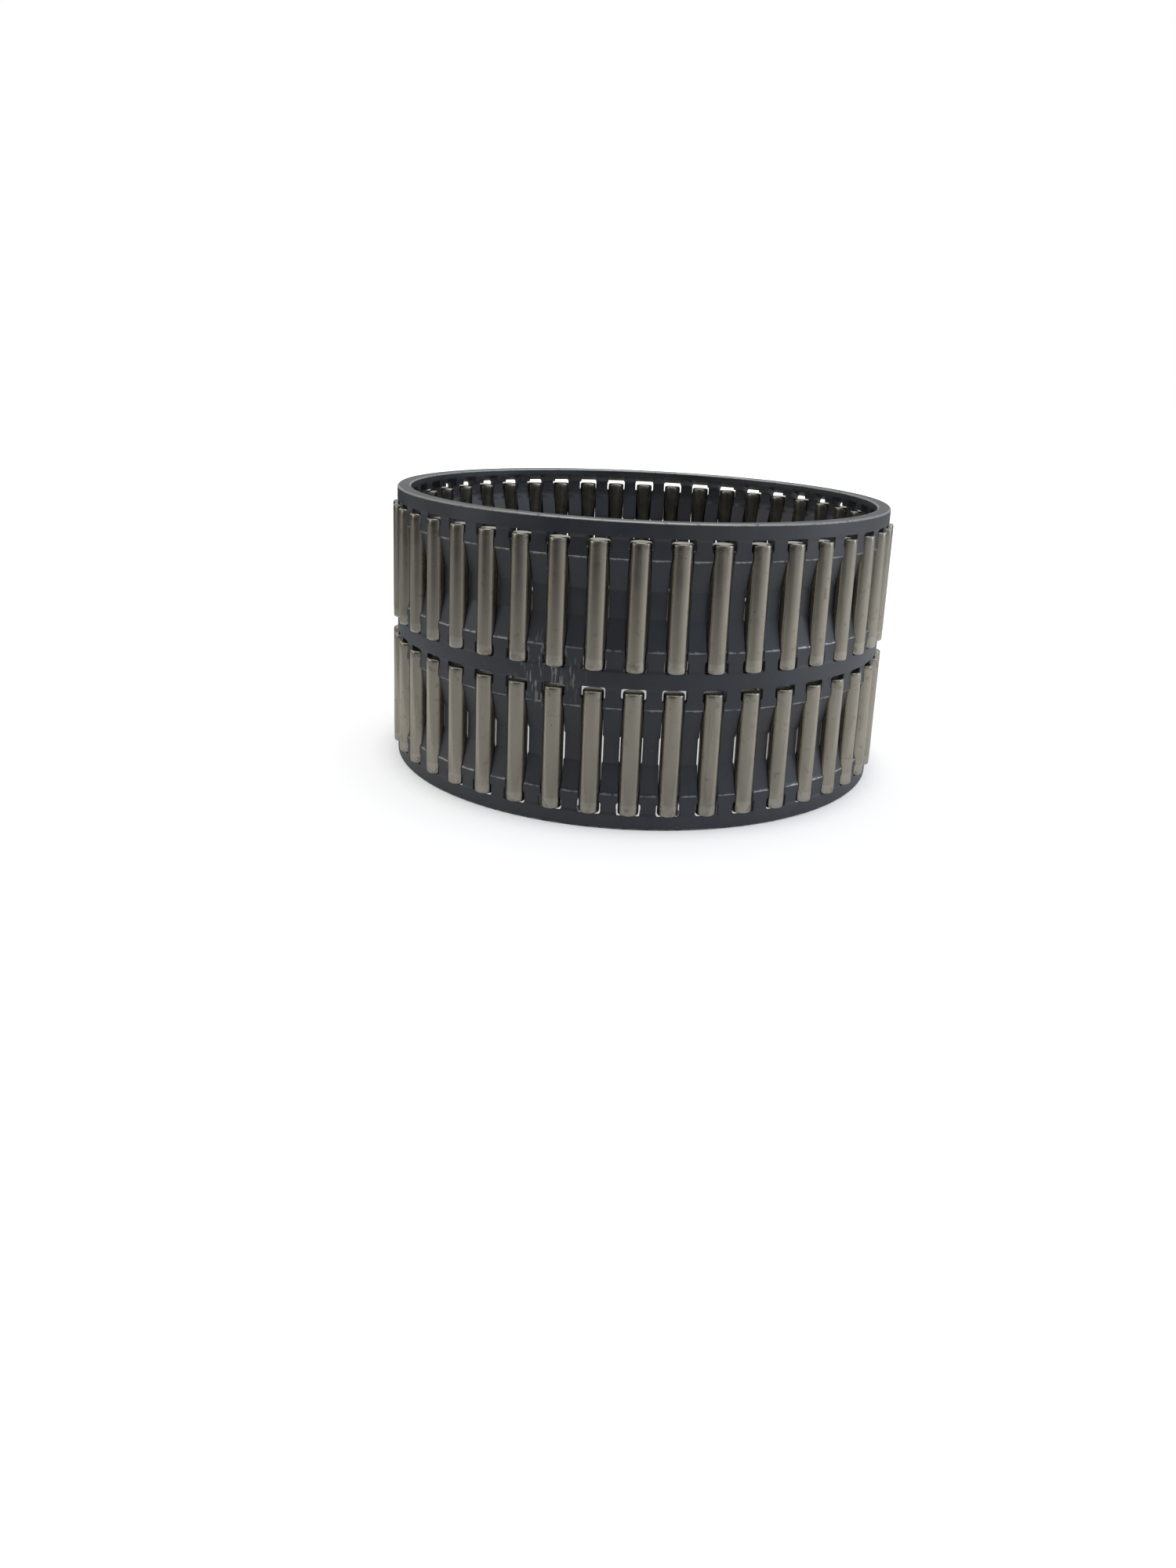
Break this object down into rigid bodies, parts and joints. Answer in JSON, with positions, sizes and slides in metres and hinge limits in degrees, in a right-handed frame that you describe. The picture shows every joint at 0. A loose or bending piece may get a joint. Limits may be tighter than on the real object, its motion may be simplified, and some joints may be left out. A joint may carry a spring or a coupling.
{
  "type": "needle roller and cage assembly",
  "caption": "Double-row needle roller and cage assembly: two rows of loose steel needles held in the pockets of one black-oxide steel cage, with no rings of its own.",
  "frame": {"origin": "centre of the lower end face of the cage, on the bearing axis", "axes": "+Z along the bearing axis, upwards as the cage stands on its end face; needle pair 1 lies on -Y"},
  "size_m": [0.108, 0.108, 0.058],
  "materials": {
    "black_oxide": "black oxide on machined steel, satin, lightly oiled",
    "needle_steel": "ground and polished bearing steel, fine grinding marks"
  },
  "bodies": {
    "cage": {"cage": "black_oxide"},
    "needle_pair_01": {"needle_pair_01": "needle_steel"},
    "needle_pair_02": {"needle_pair_02": "needle_steel"},
    "needle_pair_03": {"needle_pair_03": "needle_steel"},
    "needle_pair_04": {"needle_pair_04": "needle_steel"},
    "needle_pair_05": {"needle_pair_05": "needle_steel"},
    "needle_pair_06": {"needle_pair_06": "needle_steel"},
    "needle_pair_07": {"needle_pair_07": "needle_steel"},
    "needle_pair_08": {"needle_pair_08": "needle_steel"},
    "needle_pair_09": {"needle_pair_09": "needle_steel"},
    "needle_pair_10": {"needle_pair_10": "needle_steel"},
    "needle_pair_11": {"needle_pair_11": "needle_steel"},
    "needle_pair_12": {"needle_pair_12": "needle_steel"},
    "needle_pair_13": {"needle_pair_13": "needle_steel"},
    "needle_pair_14": {"needle_pair_14": "needle_steel"},
    "needle_pair_15": {"needle_pair_15": "needle_steel"},
    "needle_pair_16": {"needle_pair_16": "needle_steel"},
    "needle_pair_17": {"needle_pair_17": "needle_steel"},
    "needle_pair_18": {"needle_pair_18": "needle_steel"},
    "needle_pair_19": {"needle_pair_19": "needle_steel"},
    "needle_pair_20": {"needle_pair_20": "needle_steel"},
    "needle_pair_21": {"needle_pair_21": "needle_steel"},
    "needle_pair_22": {"needle_pair_22": "needle_steel"},
    "needle_pair_23": {"needle_pair_23": "needle_steel"},
    "needle_pair_24": {"needle_pair_24": "needle_steel"},
    "needle_pair_25": {"needle_pair_25": "needle_steel"},
    "needle_pair_26": {"needle_pair_26": "needle_steel"},
    "needle_pair_27": {"needle_pair_27": "needle_steel"},
    "needle_pair_28": {"needle_pair_28": "needle_steel"},
    "needle_pair_29": {"needle_pair_29": "needle_steel"},
    "needle_pair_30": {"needle_pair_30": "needle_steel"},
    "needle_pair_31": {"needle_pair_31": "needle_steel"},
    "needle_pair_32": {"needle_pair_32": "needle_steel"},
    "needle_pair_33": {"needle_pair_33": "needle_steel"},
    "needle_pair_34": {"needle_pair_34": "needle_steel"},
    "needle_pair_35": {"needle_pair_35": "needle_steel"},
    "needle_pair_36": {"needle_pair_36": "needle_steel"},
    "needle_pair_37": {"needle_pair_37": "needle_steel"},
    "needle_pair_38": {"needle_pair_38": "needle_steel"},
    "needle_pair_39": {"needle_pair_39": "needle_steel"},
    "needle_pair_40": {"needle_pair_40": "needle_steel"},
    "needle_pair_41": {"needle_pair_41": "needle_steel"},
    "needle_pair_42": {"needle_pair_42": "needle_steel"},
    "needle_pair_43": {"needle_pair_43": "needle_steel"},
    "needle_pair_44": {"needle_pair_44": "needle_steel"}
  },
  "joints": [
    {"name": "needle_spin_01", "type": "hinge", "parent": "cage", "child": "needle_pair_01", "pos_m": [0, -0.052, 0.029], "axis": [0, 0, 1], "continuous": true},
    {"name": "needle_spin_02", "type": "hinge", "parent": "cage", "child": "needle_pair_02", "pos_m": [0.0074, -0.05147, 0.029], "axis": [0, 0, 1], "continuous": true},
    {"name": "needle_spin_03", "type": "hinge", "parent": "cage", "child": "needle_pair_03", "pos_m": [0.01465, -0.04989, 0.029], "axis": [0, 0, 1], "continuous": true},
    {"name": "needle_spin_04", "type": "hinge", "parent": "cage", "child": "needle_pair_04", "pos_m": [0.0216, -0.0473, 0.029], "axis": [0, 0, 1], "continuous": true},
    {"name": "needle_spin_05", "type": "hinge", "parent": "cage", "child": "needle_pair_05", "pos_m": [0.02811, -0.04375, 0.029], "axis": [0, 0, 1], "continuous": true},
    {"name": "needle_spin_06", "type": "hinge", "parent": "cage", "child": "needle_pair_06", "pos_m": [0.03405, -0.0393, 0.029], "axis": [0, 0, 1], "continuous": true},
    {"name": "needle_spin_07", "type": "hinge", "parent": "cage", "child": "needle_pair_07", "pos_m": [0.0393, -0.03405, 0.029], "axis": [0, 0, 1], "continuous": true},
    {"name": "needle_spin_08", "type": "hinge", "parent": "cage", "child": "needle_pair_08", "pos_m": [0.04375, -0.02811, 0.029], "axis": [0, 0, 1], "continuous": true},
    {"name": "needle_spin_09", "type": "hinge", "parent": "cage", "child": "needle_pair_09", "pos_m": [0.0473, -0.0216, 0.029], "axis": [0, 0, 1], "continuous": true},
    {"name": "needle_spin_10", "type": "hinge", "parent": "cage", "child": "needle_pair_10", "pos_m": [0.04989, -0.01465, 0.029], "axis": [0, 0, 1], "continuous": true},
    {"name": "needle_spin_11", "type": "hinge", "parent": "cage", "child": "needle_pair_11", "pos_m": [0.05147, -0.0074, 0.029], "axis": [0, 0, 1], "continuous": true},
    {"name": "needle_spin_12", "type": "hinge", "parent": "cage", "child": "needle_pair_12", "pos_m": [0.052, 0, 0.029], "axis": [0, 0, 1], "continuous": true},
    {"name": "needle_spin_13", "type": "hinge", "parent": "cage", "child": "needle_pair_13", "pos_m": [0.05147, 0.0074, 0.029], "axis": [0, 0, 1], "continuous": true},
    {"name": "needle_spin_14", "type": "hinge", "parent": "cage", "child": "needle_pair_14", "pos_m": [0.04989, 0.01465, 0.029], "axis": [0, 0, 1], "continuous": true},
    {"name": "needle_spin_15", "type": "hinge", "parent": "cage", "child": "needle_pair_15", "pos_m": [0.0473, 0.0216, 0.029], "axis": [0, 0, 1], "continuous": true},
    {"name": "needle_spin_16", "type": "hinge", "parent": "cage", "child": "needle_pair_16", "pos_m": [0.04375, 0.02811, 0.029], "axis": [0, 0, 1], "continuous": true},
    {"name": "needle_spin_17", "type": "hinge", "parent": "cage", "child": "needle_pair_17", "pos_m": [0.0393, 0.03405, 0.029], "axis": [0, 0, 1], "continuous": true},
    {"name": "needle_spin_18", "type": "hinge", "parent": "cage", "child": "needle_pair_18", "pos_m": [0.03405, 0.0393, 0.029], "axis": [0, 0, 1], "continuous": true},
    {"name": "needle_spin_19", "type": "hinge", "parent": "cage", "child": "needle_pair_19", "pos_m": [0.02811, 0.04375, 0.029], "axis": [0, 0, 1], "continuous": true},
    {"name": "needle_spin_20", "type": "hinge", "parent": "cage", "child": "needle_pair_20", "pos_m": [0.0216, 0.0473, 0.029], "axis": [0, 0, 1], "continuous": true},
    {"name": "needle_spin_21", "type": "hinge", "parent": "cage", "child": "needle_pair_21", "pos_m": [0.01465, 0.04989, 0.029], "axis": [0, 0, 1], "continuous": true},
    {"name": "needle_spin_22", "type": "hinge", "parent": "cage", "child": "needle_pair_22", "pos_m": [0.0074, 0.05147, 0.029], "axis": [0, 0, 1], "continuous": true},
    {"name": "needle_spin_23", "type": "hinge", "parent": "cage", "child": "needle_pair_23", "pos_m": [0, 0.052, 0.029], "axis": [0, 0, 1], "continuous": true},
    {"name": "needle_spin_24", "type": "hinge", "parent": "cage", "child": "needle_pair_24", "pos_m": [-0.0074, 0.05147, 0.029], "axis": [0, 0, 1], "continuous": true},
    {"name": "needle_spin_25", "type": "hinge", "parent": "cage", "child": "needle_pair_25", "pos_m": [-0.01465, 0.04989, 0.029], "axis": [0, 0, 1], "continuous": true},
    {"name": "needle_spin_26", "type": "hinge", "parent": "cage", "child": "needle_pair_26", "pos_m": [-0.0216, 0.0473, 0.029], "axis": [0, 0, 1], "continuous": true},
    {"name": "needle_spin_27", "type": "hinge", "parent": "cage", "child": "needle_pair_27", "pos_m": [-0.02811, 0.04375, 0.029], "axis": [0, 0, 1], "continuous": true},
    {"name": "needle_spin_28", "type": "hinge", "parent": "cage", "child": "needle_pair_28", "pos_m": [-0.03405, 0.0393, 0.029], "axis": [0, 0, 1], "continuous": true},
    {"name": "needle_spin_29", "type": "hinge", "parent": "cage", "child": "needle_pair_29", "pos_m": [-0.0393, 0.03405, 0.029], "axis": [0, 0, 1], "continuous": true},
    {"name": "needle_spin_30", "type": "hinge", "parent": "cage", "child": "needle_pair_30", "pos_m": [-0.04375, 0.02811, 0.029], "axis": [0, 0, 1], "continuous": true},
    {"name": "needle_spin_31", "type": "hinge", "parent": "cage", "child": "needle_pair_31", "pos_m": [-0.0473, 0.0216, 0.029], "axis": [0, 0, 1], "continuous": true},
    {"name": "needle_spin_32", "type": "hinge", "parent": "cage", "child": "needle_pair_32", "pos_m": [-0.04989, 0.01465, 0.029], "axis": [0, 0, 1], "continuous": true},
    {"name": "needle_spin_33", "type": "hinge", "parent": "cage", "child": "needle_pair_33", "pos_m": [-0.05147, 0.0074, 0.029], "axis": [0, 0, 1], "continuous": true},
    {"name": "needle_spin_34", "type": "hinge", "parent": "cage", "child": "needle_pair_34", "pos_m": [-0.052, 0, 0.029], "axis": [0, 0, 1], "continuous": true},
    {"name": "needle_spin_35", "type": "hinge", "parent": "cage", "child": "needle_pair_35", "pos_m": [-0.05147, -0.0074, 0.029], "axis": [0, 0, 1], "continuous": true},
    {"name": "needle_spin_36", "type": "hinge", "parent": "cage", "child": "needle_pair_36", "pos_m": [-0.04989, -0.01465, 0.029], "axis": [0, 0, 1], "continuous": true},
    {"name": "needle_spin_37", "type": "hinge", "parent": "cage", "child": "needle_pair_37", "pos_m": [-0.0473, -0.0216, 0.029], "axis": [0, 0, 1], "continuous": true},
    {"name": "needle_spin_38", "type": "hinge", "parent": "cage", "child": "needle_pair_38", "pos_m": [-0.04375, -0.02811, 0.029], "axis": [0, 0, 1], "continuous": true},
    {"name": "needle_spin_39", "type": "hinge", "parent": "cage", "child": "needle_pair_39", "pos_m": [-0.0393, -0.03405, 0.029], "axis": [0, 0, 1], "continuous": true},
    {"name": "needle_spin_40", "type": "hinge", "parent": "cage", "child": "needle_pair_40", "pos_m": [-0.03405, -0.0393, 0.029], "axis": [0, 0, 1], "continuous": true},
    {"name": "needle_spin_41", "type": "hinge", "parent": "cage", "child": "needle_pair_41", "pos_m": [-0.02811, -0.04375, 0.029], "axis": [0, 0, 1], "continuous": true},
    {"name": "needle_spin_42", "type": "hinge", "parent": "cage", "child": "needle_pair_42", "pos_m": [-0.0216, -0.0473, 0.029], "axis": [0, 0, 1], "continuous": true},
    {"name": "needle_spin_43", "type": "hinge", "parent": "cage", "child": "needle_pair_43", "pos_m": [-0.01465, -0.04989, 0.029], "axis": [0, 0, 1], "continuous": true},
    {"name": "needle_spin_44", "type": "hinge", "parent": "cage", "child": "needle_pair_44", "pos_m": [-0.0074, -0.05147, 0.029], "axis": [0, 0, 1], "continuous": true}
  ],
  "couplings": [
    {"joint": "needle_spin_02", "follows": "needle_spin_01", "ratio": 1},
    {"joint": "needle_spin_03", "follows": "needle_spin_01", "ratio": 1},
    {"joint": "needle_spin_04", "follows": "needle_spin_01", "ratio": 1},
    {"joint": "needle_spin_05", "follows": "needle_spin_01", "ratio": 1},
    {"joint": "needle_spin_06", "follows": "needle_spin_01", "ratio": 1},
    {"joint": "needle_spin_07", "follows": "needle_spin_01", "ratio": 1},
    {"joint": "needle_spin_08", "follows": "needle_spin_01", "ratio": 1},
    {"joint": "needle_spin_09", "follows": "needle_spin_01", "ratio": 1},
    {"joint": "needle_spin_10", "follows": "needle_spin_01", "ratio": 1},
    {"joint": "needle_spin_11", "follows": "needle_spin_01", "ratio": 1},
    {"joint": "needle_spin_12", "follows": "needle_spin_01", "ratio": 1},
    {"joint": "needle_spin_13", "follows": "needle_spin_01", "ratio": 1},
    {"joint": "needle_spin_14", "follows": "needle_spin_01", "ratio": 1},
    {"joint": "needle_spin_15", "follows": "needle_spin_01", "ratio": 1},
    {"joint": "needle_spin_16", "follows": "needle_spin_01", "ratio": 1},
    {"joint": "needle_spin_17", "follows": "needle_spin_01", "ratio": 1},
    {"joint": "needle_spin_18", "follows": "needle_spin_01", "ratio": 1},
    {"joint": "needle_spin_19", "follows": "needle_spin_01", "ratio": 1},
    {"joint": "needle_spin_20", "follows": "needle_spin_01", "ratio": 1},
    {"joint": "needle_spin_21", "follows": "needle_spin_01", "ratio": 1},
    {"joint": "needle_spin_22", "follows": "needle_spin_01", "ratio": 1},
    {"joint": "needle_spin_23", "follows": "needle_spin_01", "ratio": 1},
    {"joint": "needle_spin_24", "follows": "needle_spin_01", "ratio": 1},
    {"joint": "needle_spin_25", "follows": "needle_spin_01", "ratio": 1},
    {"joint": "needle_spin_26", "follows": "needle_spin_01", "ratio": 1},
    {"joint": "needle_spin_27", "follows": "needle_spin_01", "ratio": 1},
    {"joint": "needle_spin_28", "follows": "needle_spin_01", "ratio": 1},
    {"joint": "needle_spin_29", "follows": "needle_spin_01", "ratio": 1},
    {"joint": "needle_spin_30", "follows": "needle_spin_01", "ratio": 1},
    {"joint": "needle_spin_31", "follows": "needle_spin_01", "ratio": 1},
    {"joint": "needle_spin_32", "follows": "needle_spin_01", "ratio": 1},
    {"joint": "needle_spin_33", "follows": "needle_spin_01", "ratio": 1},
    {"joint": "needle_spin_34", "follows": "needle_spin_01", "ratio": 1},
    {"joint": "needle_spin_35", "follows": "needle_spin_01", "ratio": 1},
    {"joint": "needle_spin_36", "follows": "needle_spin_01", "ratio": 1},
    {"joint": "needle_spin_37", "follows": "needle_spin_01", "ratio": 1},
    {"joint": "needle_spin_38", "follows": "needle_spin_01", "ratio": 1},
    {"joint": "needle_spin_39", "follows": "needle_spin_01", "ratio": 1},
    {"joint": "needle_spin_40", "follows": "needle_spin_01", "ratio": 1},
    {"joint": "needle_spin_41", "follows": "needle_spin_01", "ratio": 1},
    {"joint": "needle_spin_42", "follows": "needle_spin_01", "ratio": 1},
    {"joint": "needle_spin_43", "follows": "needle_spin_01", "ratio": 1},
    {"joint": "needle_spin_44", "follows": "needle_spin_01", "ratio": 1}
  ]
}
